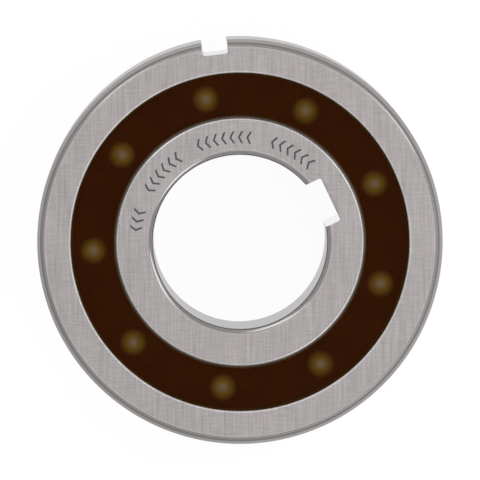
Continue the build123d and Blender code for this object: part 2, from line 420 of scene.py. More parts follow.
def slotted_ring(profile, slot):
    """A ring's profile swept round its axis, with a key slot cut through one side of it.

    Each profile point (r, z) becomes a closed line at height z: the circle of radius r, and across
    the slot, where the circle would pass through it, the slot's outline instead. Circles clear of the
    slot are whole, with their points spread over an angle so that the face between has no folds. Near
    both ends the outline grows by 1 - sqrt(1 - (1 - depth / edge)^2) of the edge rounding. Returned
    with the points are the masks of the keyway and of the fine edges round it.
    """
    spread = radians(3)
    radius, height = profile[:, :1], profile[:, 1:]
    depth = np.clip((HALF_WIDTH - np.abs(height)) / slot.edge, 0, 1)
    grow = slot.edge * (1 - np.sqrt(1 - (1 - depth) ** 2))
    half, floor = slot.half + grow, slot.floor - slot.sign * grow
    cut = (radius > slot.floor) if slot.sign > 0 else (radius < slot.floor)
    start = np.arcsin(half / radius) + slot.edge / radius
    outline_x, outline_y = slot_outline(radius, start, half, floor, slot)

    walls = SLOT_STEPS["edge"] + 1 + SLOT_STEPS["wall"]
    plain_start = np.arcsin(half / radius) + spread
    wall_angle = plain_start - spread * np.linspace(0, 1, walls)
    foot_angle = np.arcsin(outline_x[:, walls:] / radius)
    plain_angle = np.hstack([wall_angle, foot_angle])
    outline_x = np.where(cut, outline_x, radius * np.sin(plain_angle))
    outline_y = np.where(cut, outline_y, radius * np.cos(plain_angle))

    start = np.where(cut, start, plain_start)
    share = np.linspace(0, 1, RING_STEPS + 1)[1:-1]
    around = start + (tau - 2 * start) * share
    x = np.hstack([radius * np.sin(around), -outline_x, outline_x[:, -2::-1]])
    y = np.hstack([radius * np.cos(around), outline_y, outline_y[:, -2::-1]])
    c, s = cos(slot.angle), sin(slot.angle)
    points = np.stack([y * c - x * s, y * s + x * c, np.broadcast_to(height, x.shape)], -1)

    across = np.arange(x.shape[1]) - len(share)
    into = np.minimum(across, x.shape[1] - len(share) - 1 - across)
    below_face = depth > 0
    on_edge = cut * below_face * (into > 0) * (into < SLOT_STEPS["edge"])
    keyway = cut * below_face * (into >= SLOT_STEPS["edge"])
    edge = np.maximum(on_edge, keyway * (depth < 1))
    return points, keyway, edge


def ring_shape(settings, outer):
    """The closed profile of one ring, from its mounting side over the front face to its race and back.

    The front half is a quarter circle for the corner, the flat face, a quarter circle for the race's
    edge, and the race as far as the groove's lip, at the height sqrt(groove^2 - (race - centre)^2).
    The ball groove's arc follows, then the front half's mirror image and the mounting side.
    """
    ball_room = BALL_RADIUS + settings.running_clearance
    groove = 2 * BALL_RADIUS * settings.groove_conformity
    hold = 0.02 * MM
    if outer:
        side, race, corner, way = OUTSIDE_RADIUS, OUTER_RACE_RADIUS, settings.outside_corner, 1
    else:
        side, race, corner, way = BORE_RADIUS, INNER_RACE_RADIUS, settings.bore_corner, -1
    edge, top = settings.race_edge, HALF_WIDTH
    centre = PITCH_RADIUS + way * (ball_room - groove)
    lip = np.sqrt(groove**2 - (race - centre) ** 2)
    side_angle = 0 if outer else pi
    corner_arc = arc((side - way * corner, top - corner), corner, side_angle, pi / 2, CORNER_STEPS)
    race_arc = arc((race + way * edge, top - edge), edge, pi / 2, pi - side_angle, EDGE_STEPS)
    front = [
        (corner_arc, "corner"),
        (straight((side - way * corner, top), (race + way * edge, top), hold), "face"),
        (race_arc, "edge"),
        (straight((race, top - edge), (race, lip), hold), "race"),
    ]
    groove_start = np.arctan2(lip, race - centre)
    groove_end = -groove_start if outer else tau - groove_start
    groove_arc = arc((centre, 0), groove, groove_start, groove_end, GROOVE_STEPS)
    rear = [(run[::-1] * (1, -1), zone) for run, zone in front[::-1]]
    back = straight((side, corner - top), (side, top - corner), hold)
    return ring_profile(front + [(groove_arc, "race")] + rear + [(back, "cylinder")])


def with_slot_room(points, zones, slot):
    """Adds one whole circle to each end face, just clear of the slot's floor, so the slot ends there."""
    clear = 0.08 * MM
    if slot.sign > 0:
        circle = slot.floor - slot.edge - clear
    else:
        circle = np.hypot(slot.floor + slot.edge, slot.half + slot.edge) + clear
    made, names = [], []
    for here, there, zone, after in zip(points, np.roll(points, -1, 0), zones, np.roll(zones, -1)):
        made.append(here)
        names.append(zone)
        between = min(here[0], there[0]) < circle < max(here[0], there[0])
        if zone == after == "face" and between:
            made.append((circle, here[1]))
            names.append("face")
    return np.array(made), np.array(names)


def build_ring(name, settings, slot, outer):
    """One ring as a smooth piece, with a mask for each of its finishes."""
    points, zones = with_slot_room(*ring_shape(settings, outer), slot)
    grid, keyway, edge = slotted_ring(points, slot)
    corner = settings.outside_corner if outer else settings.bore_corner
    turn = corner_turn(points, zones, {"corner": corner, "edge": settings.race_edge})
    race_edge = (zones == "edge")[:, None] * (1 - keyway)
    masks = {"keyway": keyway * (1 - edge), "edge": np.maximum(edge, race_edge)}
    masks["turn"] = turn[:, None] * (1 - keyway)
    for zone in ("corner", "cylinder", "race"):
        masks[zone] = (zones == zone)[:, None] * (1 - keyway) * (1 - edge)
    return grid_object(name, [grid], RING_CREASE, closed=True, masks=masks)


def coil_object(name, ring_radius, coil_radius, height, settings):
    """A garter spring: wire wound in a helix round a circle and joined end to end.

    At angle a round the ring the wire's middle lies coil radius minus wire radius from the ring's
    circle, at phase n times a, with n coils in all. Round it runs a circle of the wire's radius.
    """
    wire = settings.wire_diameter / 2
    coils = round(tau * ring_radius / settings.coil_pitch)
    around = np.linspace(0, tau, coils * COIL_STEPS, endpoint=False)
    phase = around * coils
    outward = np.stack([np.cos(around), np.sin(around), 0 * around], -1)
    upward = np.array([0.0, 0.0, 1.0])
    spoke = np.cos(phase)[:, None] * outward + np.sin(phase)[:, None] * upward
    centre = ring_radius * outward + height * upward + (coil_radius - wire) * spoke
    tangent = np.roll(centre, -1, 0) - np.roll(centre, 1, 0)
    tangent /= np.linalg.norm(tangent, axis=1, keepdims=True)
    side = np.cross(tangent, spoke)
    side /= np.linalg.norm(side, axis=1, keepdims=True)
    lift = np.cross(side, tangent)
    angle = np.linspace(0, tau, WIRE_STEPS, endpoint=False)[None, :, None]
    points = centre[:, None] + wire * (np.cos(angle) * lift[:, None] + np.sin(angle) * side[:, None])
    return grid_object(name, [points], COIL_CREASE, closed=True)


def grease_object(name, height, side, settings):
    """Grease in every ball window of one face, each a closed lens smeared a little over its mouth.

    The lens is a profile carried round the window's middle. Its top is the dish
    z = z0 - dip (1 - s^2) (1 - s^2 / 2), where s is the share of the grease's radius, and its
    underside is a cone down into the throat, which it doesn't quite fill.
    """
    smear, throat_share = 0.004 * MM, 0.9
    share = np.linspace(0, 1, LENS_POINTS)
    top = height + smear + settings.grease_dip * (share**2 - 1) * (1 - share**2 / 2)
    foot = height - (settings.window_mouth - settings.window_throat)
    profile_r = np.hstack([share * settings.grease_radius, settings.window_throat * throat_share, 0])
    profile_z = np.hstack([top, foot, foot]) * side
    angle = np.linspace(0, tau, LENS_STEPS, endpoint=False)[:, None]
    lens = np.stack([profile_r * np.cos(angle), profile_r * np.sin(angle), profile_z + 0 * angle], -1)
    places = [np.array([middle(node).x, middle(node).y, 0]) for node in BALLS]
    return grid_object(name, [lens + place for place in places], GREASE_CREASE)


def film_object(name, side, settings):
    """A grease sheet that bridges the narrow gaps from the cage to both races near one face, coloured as
    the gaps' painted shade.

    Each gap's film is a profile carried round the axis: its top laps a little way over the cage's
    edge and sags by a parabola from there to the race, and its underside is level.
    """
    clear, lap, thick, sag_share = 0.005 * MM, 0.1 * MM, 0.2 * MM, 0.5
    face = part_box("cage_front_half")[1].z - settings.film_depth
    cage_inside, cage_outside = cage_radii()
    inner_gap = (INNER_RACE_RADIUS + clear, cage_inside + lap)
    outer_gap = (cage_outside - lap, OUTER_RACE_RADIUS - clear)
    angle = np.linspace(0, tau, FILM_STEPS, endpoint=False)[:, None]
    films = []
    for low, high in (inner_gap, outer_gap):
        t = np.linspace(0, 1, FILM_POINTS)
        r = np.hstack([low + (high - low) * t, high, low, low])
        sag = (high - low) * sag_share * t * (1 - t)
        z = np.hstack([face - sag, face - thick, face - thick, face]) * side
        films.append(np.stack([r * np.cos(angle), r * np.sin(angle), z + 0 * angle], -1))
    return grid_object(name, films, GREASE_CREASE)


# Node groups and materials

# A stretch that leaves noise as it is, and the values between which nearly all of it lies
EVEN = (1.0, 1.0, 1.0)
NOISE_LOW, NOISE_HIGH = 0.3, 0.7

# Depth of the finest relief, and the steps at which the rows of direction marks start and end
RELIEF_DEPTH = 0.01 * MM
MARK_ROWS = ((10, 16), (18, 25), (27, 33), (35, 38))

# Shares of a rounding's turn between which its side by the face ends
FACE_SIDE = (0.08, 0.14)

CornerLook = namedtuple("CornerLook", "tones step line_width start roughness edge_gloss")


def new_group(name, inputs, outputs):
    """An empty shader node group: its tree, its input node's sockets and its output node's."""
    tree = bpy.data.node_groups.new(name, "ShaderNodeTree")
    for label, kind, value in inputs:
        socket = tree.interface.new_socket(label, in_out="INPUT", socket_type="NodeSocket" + kind)
        if value is not None:
            socket.default_value = value
    for label, kind in outputs:
        tree.interface.new_socket(label, in_out="OUTPUT", socket_type="NodeSocket" + kind)
    return tree, tree.nodes.new("NodeGroupInput").outputs, tree.nodes.new("NodeGroupOutput").inputs


def feed(tree, socket, value):
    """Gives a socket a link from another socket, or a plain value."""
    if isinstance(value, bpy.types.NodeSocket):
        tree.links.new(value, socket)
    elif value is not None:
        socket.default_value = value


def maths(tree, operation, first, second=None, third=None, clamp=False):
    """A Math node's result."""
    node = tree.nodes.new("ShaderNodeMath")
    node.operation, node.use_clamp = operation, clamp
    for socket, value in zip(node.inputs, (first, second, third)):
        feed(tree, socket, value)
    return node.outputs[0]


def times(tree, first, second):
    """The product of two values."""
    return maths(tree, "MULTIPLY", first, second)


def minus(tree, first, second):
    """The first value less the second."""
    return maths(tree, "SUBTRACT", first, second)


def fade(tree, value, low, high, from_low=0.0, from_high=1.0):
    """A smooth step: from_low where value is at low or less, from_high where it is at high or more."""
    node = tree.nodes.new("ShaderNodeMapRange")
    node.interpolation_type = "SMOOTHSTEP"
    for label, given in (("Value", value), ("From Min", low), ("From Max", high),
                         ("To Min", from_low), ("To Max", from_high)):
        feed(tree, node.inputs[label], given)
    return node.outputs["Result"]


def varied(tree, value, base, swing):
    """A base to which a value between 0 and 1 adds its share of a swing."""
    return maths(tree, "MULTIPLY_ADD", value, swing, base)


def drift(tree, value, spread):
    """A tone that drifts about 1, lower and higher by the spread, as a value goes from 0 to 1."""
    return fade(tree, value, 0.0, 1.0, 1 - spread, 1 + spread)


def opaque(colour):
    """A colour with full opacity."""
    return (*colour, 1)


def mix(tree, factor, first, second, blend="MIX"):
    """A colour mix. Inputs 6 and 7 and output 2 are the colour sockets of Blender's Mix node."""
    node = tree.nodes.new("ShaderNodeMix")
    node.data_type, node.blend_type = "RGBA", blend
    feed(tree, node.inputs[0], factor)
    feed(tree, node.inputs[6], first)
    feed(tree, node.inputs[7], second)
    return node.outputs[2]


def toned(tree, colour, tone):
    """A colour made lighter or darker by a tone about 1."""
    return mix(tree, 1.0, colour, tone, "MULTIPLY")


def stretched_noise(tree, vector, stretch, scale, detail=2.0):
    """Noise whose coordinates are multiplied by stretch, so that it runs into lines along a small one."""
    node = tree.nodes.new("ShaderNodeVectorMath")
    node.operation = "MULTIPLY"
    feed(tree, node.inputs[0], vector)
    node.inputs[1].default_value = stretch
    noise = tree.nodes.new("ShaderNodeTexNoise")
    tree.links.new(node.outputs[0], noise.inputs["Vector"])
    feed(tree, noise.inputs["Scale"], scale)
    noise.inputs["Detail"].default_value = detail
    return noise.outputs["Fac"]


def polar(tree, vector):
    """The distance from the clutch's axis, the angle round it and the height, of an object-space point."""
    split = tree.nodes.new("ShaderNodeSeparateXYZ")
    feed(tree, split.inputs[0], vector)
    x, y, height = split.outputs
    square = maths(tree, "ADD", times(tree, x, x), times(tree, y, y))
    return maths(tree, "SQRT", square), maths(tree, "ARCTAN2", y, x), height


def cross_grind_group():
    """Fine straight grinding lines in two directions across the end faces, as a value about a half."""
    tree, given, result = new_group(
        "Cross grind", [("Vector", "Vector", None), ("Lines per metre", "Float", 5800.0)],
        [("Lines", "Float")])
    along_y, along_x = (1.7, 0.05, 0.05), (0.12, 1.15, 0.03)
    upright_share = 0.62
    upright = stretched_noise(tree, given["Vector"], along_y, given["Lines per metre"])
    level = stretched_noise(tree, given["Vector"], along_x, given["Lines per metre"])
    level = times(tree, level, 1 - upright_share)
    feed(tree, result["Lines"], varied(tree, upright, base=level, swing=upright_share))
    return tree


def turned_group():
    """Fine lines that run round the clutch's axis, as on turned and cylindrically ground steel."""
    tree, given, result = new_group(
        "Turned lines", [("Vector", "Vector", None), ("Lines per metre", "Float", 9000.0)],
        [("Lines", "Float")])
    radius, angle, height = polar(tree, given["Vector"])
    place = tree.nodes.new("ShaderNodeCombineXYZ")
    run_per_radian = 0.12 * MM
    run = times(tree, angle, run_per_radian)
    for socket, value in zip(place.inputs, (radius, height, run)):
        feed(tree, socket, value)
    lines = stretched_noise(tree, place.outputs[0], EVEN, given["Lines per metre"])
    feed(tree, result["Lines"], lines)
    return tree


def blotch_group():
    """Slow changes over a few millimetres: handling stains on steel, flow marks in resin."""
    tree, given, result = new_group(
        "Blotches", [("Vector", "Vector", None), ("Spots per metre", "Float", 220.0)], [("Value", "Float")])
    noise = stretched_noise(tree, given["Vector"], EVEN, given["Spots per metre"], detail=4.0)
    feed(tree, result["Value"], fade(tree, noise, NOISE_LOW, NOISE_HIGH))
    return tree


def direction_marks_group():
    """Laser chevrons in rows along an arc of the inner ring's face, pointing the way that it turns freely.

    The angle round the axis is cut into even steps. In each step lies one chevron: the points whose
    distance along the arc, plus their distance from the row's middle times the slope, is close to
    the step's middle. MARK_ROWS holds the steps at which each row starts and ends.
    """
    tree, given, result = new_group(
        "Direction marks",
        [("Vector", "Vector", None), ("Row radius", "Float", 9.05 * MM), ("Height", "Float", 1.05 * MM),
         ("Stroke", "Float", 0.18 * MM), ("Step", "Float", radians(4.6)), ("Slope", "Float", 0.55)],
        [("Mask", "Float")])
    soft, tip_share, face_depth = 0.02 * MM, 0.14, 0.01 * MM
    radius, angle, height = polar(tree, given["Vector"])
    off_row = maths(tree, "ABSOLUTE", minus(tree, radius, given["Row radius"]))
    past_row = minus(tree, off_row, times(tree, given["Height"], 0.5))
    in_row = fade(tree, past_row, -soft, soft, 1.0, 0.0)
    turned = maths(tree, "WRAP", angle, tau, 0.0)
    cell = maths(tree, "FRACT", maths(tree, "DIVIDE", turned, given["Step"]))
    cell = times(tree, minus(tree, cell, 0.5), given["Step"])
    along = times(tree, cell, given["Row radius"])
    bent = maths(tree, "MULTIPLY_ADD", off_row, given["Slope"], along)
    bent = minus(tree, bent, times(tree, given["Height"], tip_share))
    past_stroke = times(tree, given["Stroke"], 0.5)
    past_stroke = minus(tree, maths(tree, "ABSOLUTE", bent), past_stroke)
    mask = times(tree, in_row, fade(tree, past_stroke, -soft, soft, 1.0, 0.0))
    rows = 0.0
    for first, last in MARK_ROWS:
        after = maths(tree, "GREATER_THAN", turned, times(tree, given["Step"], float(first)))
        before = maths(tree, "LESS_THAN", turned, times(tree, given["Step"], float(last)))
        rows = maths(tree, "ADD", rows, times(tree, after, before), clamp=True)
    on_face = maths(tree, "GREATER_THAN", height, HALF_WIDTH - face_depth)
    mask = times(tree, times(tree, mask, rows), on_face)
    feed(tree, result["Mask"], mask)
    return tree


def window_group():
    """The distance from the middle of the nearest ball window, by folding the angle into one step.

    It is sqrt(r^2 + c^2 - 2 r c cos(a)), with c the circle's radius and a the folded angle.
    """
    tree, given, result = new_group(
        "Window distance",
        [("Vector", "Vector", None), ("Circle radius", "Float", PITCH_RADIUS),
         ("First angle", "Float", FIRST_BALL_ANGLE), ("Count", "Float", float(len(BALLS)))],
        [("Distance", "Float")])
    radius, angle, _ = polar(tree, given["Vector"])
    circle = given["Circle radius"]
    half_step = maths(tree, "DIVIDE", pi, given["Count"])
    from_first = minus(tree, angle, given["First angle"])
    folded = maths(tree, "WRAP", from_first, half_step, times(tree, half_step, -1.0))
    squares = maths(tree, "MULTIPLY_ADD", radius, radius, times(tree, circle, circle))
    product = times(tree, times(tree, radius, circle), 2.0)
    square = minus(tree, squares, times(tree, product, maths(tree, "COSINE", folded)))
    square = maths(tree, "MAXIMUM", square, 0.0)
    feed(tree, result["Distance"], maths(tree, "SQRT", square))
    return tree


def window_tint_group():
    """The painted colours of a spot round each ball window: resin, then an amber painted glow, and a grey
    painted reflection of the ball at its middle.
    """
    tree, given, result = new_group(
        "Window tint",
        [("Distance", "Float", None), ("Radius", "Float", None), ("Resin", "Color", None),
         ("Amber", "Color", None), ("Grey", "Color", None)],
        [("Color", "Color")])
    amber_start, amber_end, grey_end = 0.3, 1.05, 0.5
    share = maths(tree, "DIVIDE", given["Distance"], given["Radius"])
    amber = fade(tree, share, amber_start, amber_end, 1.0, 0.0)
    grey = fade(tree, share, 0.0, grey_end, 1.0, 0.0)
    colour = mix(tree, amber, given["Resin"], given["Amber"])
    feed(tree, result["Color"], mix(tree, grey, colour, given["Grey"]))
    return tree


# The names of the node groups that are built already, by the functions that build them
GROUP_NAMES = {}


def group(tree, build, **inputs):
    """Places a shared node group in a material, built on first use, and returns its outputs."""
    shared = bpy.data.node_groups.get(GROUP_NAMES.get(build, ""))
    if shared is None:
        shared = build()
        GROUP_NAMES[build] = shared.name
    node = tree.nodes.new("ShaderNodeGroup")
    node.node_tree = shared
    for label, value in inputs.items():
        feed(tree, node.inputs[label.replace("_", " ")], value)
    return node.outputs


def new_material(name):
    """A material with a Principled shader: its tree, its shader's inputs and its object coordinates."""
    material = bpy.data.materials.new(name)
    material.use_nodes = True
    tree = material.node_tree
    place = tree.nodes.new("ShaderNodeTexCoord").outputs["Object"]
    return material, tree, tree.nodes["Principled BSDF"].inputs, place


def masked(tree, label):
    """A mask that the piece carries as an attribute."""
    node = tree.nodes.new("ShaderNodeAttribute")
    node.attribute_name = label
    return node.outputs["Fac"]


def bump(tree, height, strength):
    """A Bump node's normal, for a fine relief."""
    node = tree.nodes.new("ShaderNodeBump")
    feed(tree, node.inputs["Height"], height)
    feed(tree, node.inputs["Strength"], strength)
    feed(tree, node.inputs["Distance"], RELIEF_DEPTH)
    return node.outputs["Normal"]


def corner_tones(tree, turn, look, line_colour):
    """A corner's painted reflection in two tones, beside the face and past the step in its turn, with a
    painted dark line between: bands that stand for what the curved steel mirrors.
    """
    blur, line_strength = 0.03, 0.45
    near_face, near_side = look.tones
    beyond = fade(tree, turn, look.step - blur, look.step + blur)
    rise = fade(tree, turn, look.step - look.line_width, look.step)
    fall = fade(tree, turn, look.step, look.step + look.line_width, 1.0, 0.0)
    line = times(tree, times(tree, rise, fall), line_strength)
    band = mix(tree, beyond, opaque(near_face), opaque(near_side))
    return mix(tree, line, band, opaque(line_colour))


def face_highlight(tree, place, look, width):
    """A mask of the painted highlight line where a face meets its corner: strong at the corner's start,
    gone a width away.
    """
    core_share, strength = 0.2, 0.8
    away = maths(tree, "ABSOLUTE", minus(tree, polar(tree, place)[0], look.start))
    return fade(tree, away, core_share * width, width, strength, 0.0)


def ring_steel(name, settings, look, marked):
    """Bearing steel: cross-ground faces, corners painted in two reflection tones, ground bore, and edges
    painted lighter as a highlight.

    The look holds the radius at which the corner starts, its tones and its roughness, which begins
    where the side by the face ends. On the race's edge that side has the look's edge gloss, and the
    rest has the settings' edge roughness. A marked ring carries the direction marks.
    """
    material, tree, shader, place = new_material(name)
    lines = group(tree, cross_grind_group, Vector=place)["Lines"]
    rings = group(tree, turned_group, Vector=place)["Lines"]
    stain = group(tree, blotch_group, Vector=place)["Value"]
    corner, edge, turn = (masked(tree, label) for label in ("corner", "edge", "turn"))
    wall = maths(tree, "ADD", masked(tree, "cylinder"), masked(tree, "race"), clamp=True)
    rounds = maths(tree, "ADD", corner, wall, clamp=True)
    glint = face_highlight(tree, place, look, settings.face_highlight)
    plain_ground = (0.5, 0.5, 0.5, 1)
    ground = mix(tree, glint, mix(tree, rounds, lines, rings), plain_ground)

    edge_cover, stain_spread = 0.75, 0.015
    # Painted highlight: the face line and the edges take a lighter steel colour.
    highlighted = opaque(settings.edge_highlight_colour)
    colour = mix(tree, glint, opaque(settings.face_colour), highlighted)
    # Painted reflection: the corners take dark and light bands by their turn.
    colour = mix(tree, corner, colour, corner_tones(tree, turn, look, settings.reflection_step_colour))
    colour = mix(tree, wall, colour, opaque(settings.bright_colour))
    colour = mix(tree, times(tree, edge, edge_cover), colour, highlighted)
    contrast = fade(tree, rounds, 0.0, 1.0, settings.face_contrast, settings.round_contrast)
    tone = varied(tree, minus(tree, ground, 0.5), base=1.0, swing=contrast)
    tone = times(tree, tone, drift(tree, stain, stain_spread))
    colour = toned(tree, colour, tone)

    face_roughness, ground_swing, glint_gloss, wall_gloss = 0.33, 0.12, -0.4, -0.15
    rough = varied(tree, ground, base=face_roughness, swing=ground_swing)
    rough = varied(tree, glint, base=rough, swing=glint_gloss)
    edge_shift = fade(tree, turn, *FACE_SIDE, look.edge_gloss, settings.edge_roughness)
    rough = varied(tree, edge, base=rough, swing=edge_shift)
    rough = varied(tree, wall, base=rough, swing=wall_gloss)
    past_face_side = times(tree, corner, fade(tree, turn, *FACE_SIDE))
    rough = varied(tree, past_face_side, base=rough, swing=look.roughness)
    relief = ground
    if marked:
        mark_roughness, mark_depth = 0.25, -0.6
        mask = group(tree, direction_marks_group, Vector=place)["Mask"]
        colour = mix(tree, mask, colour, opaque(settings.mark_colour))
        rough = varied(tree, mask, base=rough, swing=mark_roughness)
        relief = varied(tree, mask, base=ground, swing=mark_depth)
    feed(tree, shader["Base Color"], colour)
    feed(tree, shader["Metallic"], 1.0)
    feed(tree, shader["Specular Tint"], opaque((settings.grazing_tint,) * 3))
    feed(tree, shader["Roughness"], rough)
    feed(tree, shader["Normal"], bump(tree, relief, strength=0.12))
    return material


def keyway_steel(settings):
    """Broached steel with fine lines along the cut, painted brighter than the rings: a painted reflection
    of the white floor on top of the real one from its mirror finish.
    """
    material, tree, shader, place = new_material("Keyway steel")
    lines = stretched_noise(tree, place, stretch=(1.0, 1.0, 0.03), scale=6000.0)
    # Painted reflection: the keyway colour is lighter than the rings' steel.
    colour = toned(tree, opaque(settings.slot_reflection_colour), varied(tree, lines, base=0.85, swing=0.3))
    # Painted highlight on the keyway's edges.
    colour = mix(tree, masked(tree, "edge"), colour, opaque(settings.edge_highlight_colour))
    feed(tree, shader["Base Color"], colour)
    feed(tree, shader["Metallic"], 1.0)
    feed(tree, shader["Roughness"], varied(tree, lines, base=0.03, swing=0.08))
    feed(tree, shader["Normal"], bump(tree, lines, strength=0.02))
    return material


def window_spots(tree, place, settings):
    """The cage's colour at a place, with a soft spot of painted light round each ball window."""
    distance = group(tree, window_group, Vector=place)["Distance"]
    return group(tree, window_tint_group, Distance=distance, Radius=settings.glow_radius,
                 Resin=opaque(settings.resin_colour), Amber=opaque(settings.glow_colour),
                 Grey=opaque(settings.ball_reflection_colour))["Color"]


def gap_shade_tint(tree, place, settings):
    """The painted shade in the gaps beside the cage: dark, and grey near the inner ring, painted for that
    ring's steel wall in shade.
    """
    away = fade(tree, polar(tree, place)[0], INNER_RACE_RADIUS, INNER_RACE_RADIUS + settings.film_reach)
    return mix(tree, away, opaque(settings.gap_ring_shade_colour), opaque(settings.gap_shade_colour))


def cage_resin(settings):
    """Dark moulded resin, with an amber painted glow and a grey painted reflection of the ball round each
    ball window.
    """
    material, tree, shader, place = new_material("Cage resin")
    flow = group(tree, blotch_group, Vector=place, Spots_per_metre=400.0)["Value"]
    grain = stretched_noise(tree, place, EVEN, scale=9000.0)
    colour = toned(tree, window_spots(tree, place, settings), drift(tree, flow, spread=0.06))
    feed(tree, shader["Base Color"], colour)
    feed(tree, shader["Roughness"], varied(tree, grain, base=0.5, swing=0.2))
    feed(tree, shader["Specular IOR Level"], 0.015)
    feed(tree, shader["Normal"], bump(tree, grain, strength=0.15))
    return material


def soft_grease(name, tint, settings, spots, spread):
    """Grease in the colour that a tint function gives, with slow drifts in tone, shine and relief: a
    painted glow in the windows and a painted shade in the gaps.
    """
    material, tree, shader, place = new_material(name)
    flow = group(tree, blotch_group, Vector=place, Spots_per_metre=spots)["Value"]
    colour = toned(tree, tint(tree, place, settings), drift(tree, flow, spread))
    feed(tree, shader["Base Color"], colour)
    smoothest, roughest = 0.5, 0.6
    feed(tree, shader["Roughness"], fade(tree, flow, 0.0, 1.0, smoothest, roughest))
    feed(tree, shader["Specular IOR Level"], 0.02)
    feed(tree, shader["Normal"], bump(tree, flow, strength=0.1))
    return material


def plain_steel(name, colour, rough, fineness, relief):
    """Steel with a fine even texture: polished balls, tumbled sprags and drawn wire."""
    material, tree, shader, place = new_material(name)
    grain = stretched_noise(tree, place, EVEN, fineness, detail=4.0)
    stain = group(tree, blotch_group, Vector=place, Spots_per_metre=600.0)["Value"]
    grain_dark, grain_light, stain_dark, stain_light = 0.92, 1.05, 0.96, 1.03
    fine = fade(tree, grain, NOISE_LOW, NOISE_HIGH, grain_dark, grain_light)
    slow = fade(tree, stain, 0.0, 1.0, stain_dark, stain_light)
    feed(tree, shader["Base Color"], toned(tree, opaque(colour), times(tree, fine, slow)))
    feed(tree, shader["Metallic"], 1.0)
    smoothest, roughest = rough * 0.8, rough * 1.2
    feed(tree, shader["Roughness"], fade(tree, grain, NOISE_LOW, NOISE_HIGH, smoothest, roughest))
    feed(tree, shader["Normal"], bump(tree, grain, relief))
    return material


def dress(node, material):
    """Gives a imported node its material."""
    slots = frame["nodes"][node].data.materials
    slots.clear()
    slots.append(material)


def settle(piece, body, slot_name, material, *nodes):
    """Hands a new piece to its body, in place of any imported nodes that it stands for."""
    piece.data.materials.append(material)
    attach(piece, body)
    if nodes:
        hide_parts(*nodes)


def paint_keyway(ring, material):
    """Gives the faces whose corners all lie in a ring's keyway a material of their own."""
    ring.data.materials.append(material)
    inside = np.zeros(len(ring.data.vertices), np.float32)
    ring.data.attributes["keyway"].data.foreach_get("value", inside)
    corners = np.zeros(len(ring.data.loops), np.int32)
    ring.data.loops.foreach_get("vertex_index", corners)
    starts = np.zeros(len(ring.data.polygons), np.int32)
    ring.data.polygons.foreach_get("loop_start", starts)
    lowest = np.minimum.reduceat(inside[corners], starts)
    ring.data.polygons.foreach_set("material_index", (lowest > 0.5).astype(np.int32))


# Operators


class CLUTCH_OT_outer_ring(bpy.types.Operator):
    """Build the outer ring with its housing keyway"""

    bl_idname = "clutch.outer_ring"
    bl_label = "Outer ring"

    def execute(self, context):
        settings = context.scene.clutch_rings
        slot = Slot("housing_keyway", settings.housing_slot_width, settings.housing_slot_corner,
                    settings.slot_edge, opens_outward=True)
        # The look's tones are the painted reflection bands of the outside corners.
        look = CornerLook(
            tones=(settings.rim_corner_reflection_colour, settings.rim_shoulder_reflection_colour), step=settings.rim_step,
            line_width=settings.rim_line, start=OUTSIDE_RADIUS - settings.outside_corner,
            roughness=settings.rim_roughness, edge_gloss=settings.outer_edge_gloss)
        ring = build_ring("outer_ring_ground", settings, slot, outer=True)
        steel = ring_steel("Outer ring steel", settings, look, marked=False)
        settle(ring, "outer_ring", "ring_steel", steel, "outer_ring")
        paint_keyway(ring, keyway_steel(settings))
        return {"FINISHED"}


class CLUTCH_OT_inner_ring(bpy.types.Operator):
    """Build the inner ring with its shaft keyway and direction marks"""

    bl_idname = "clutch.inner_ring"
    bl_label = "Inner ring"

    def execute(self, context):
        settings = context.scene.clutch_rings
        slot = Slot("shaft_keyway", settings.shaft_slot_width, settings.shaft_slot_corner,
                    settings.slot_edge, opens_outward=False)
        # The look's tones are the painted reflection bands of the bore corners.
        look = CornerLook(
            tones=(settings.bore_corner_reflection_colour, settings.bore_shoulder_reflection_colour), step=settings.bore_step,
            line_width=settings.bore_line, start=BORE_RADIUS + settings.bore_corner,
            roughness=settings.bore_roughness, edge_gloss=settings.inner_edge_gloss)
        ring = build_ring("inner_ring_ground", settings, slot, outer=False)
        steel = ring_steel("Inner ring steel", settings, look, marked=True)
        settle(ring, "inner_ring", "ring_steel", steel, "inner_ring")
        paint_keyway(ring, keyway_steel(settings))
        return {"FINISHED"}


class CLUTCH_OT_cage(bpy.types.Operator):
    """Give both cage halves their moulded resin"""

    bl_idname = "clutch.cage"
    bl_label = "Cage halves"

    def execute(self, context):
        resin = cage_resin(context.scene.clutch_cage)
        for node in CAGE_HALVES:
            dress(node, resin)
        return {"FINISHED"}


class CLUTCH_OT_grease(bpy.types.Operator):
    """Fill the ball windows and the gaps beside the cage with grease, on both faces, carrying a painted
    glow and a painted shade
    """

    bl_idname = "clutch.grease"
    bl_label = "Grease"

    def execute(self, context):
        settings = context.scene.clutch_cage
        # The window grease carries the painted glow, and the gap film the painted shade.
        amber = soft_grease("Window grease with painted glow", window_spots, settings, spots=1500.0, spread=0.05)
        dark = soft_grease("Gap shade film", gap_shade_tint, settings, spots=900.0, spread=0.1)
        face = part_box("cage_front_half")[1].z
        for name, side in (("front", 1), ("rear", -1)):
            lenses = grease_object(name + "_window_grease", face, side, settings)
            settle(lenses, "cage", "cage_resin", amber)
            settle(film_object(name + "_gap_shade_film", side, settings), "cage", "cage_resin", dark)
        return {"FINISHED"}


class CLUTCH_OT_balls(bpy.types.Operator):
    """Give the balls their polished steel"""

    bl_idname = "clutch.balls"
    bl_label = "Balls"

    def execute(self, context):
        colour = context.scene.clutch_inside.ball_colour
        steel = plain_steel("Ball steel", colour, rough=0.12, fineness=5000.0, relief=0.02)
        for node in BALLS:
            dress(node, steel)
        return {"FINISHED"}


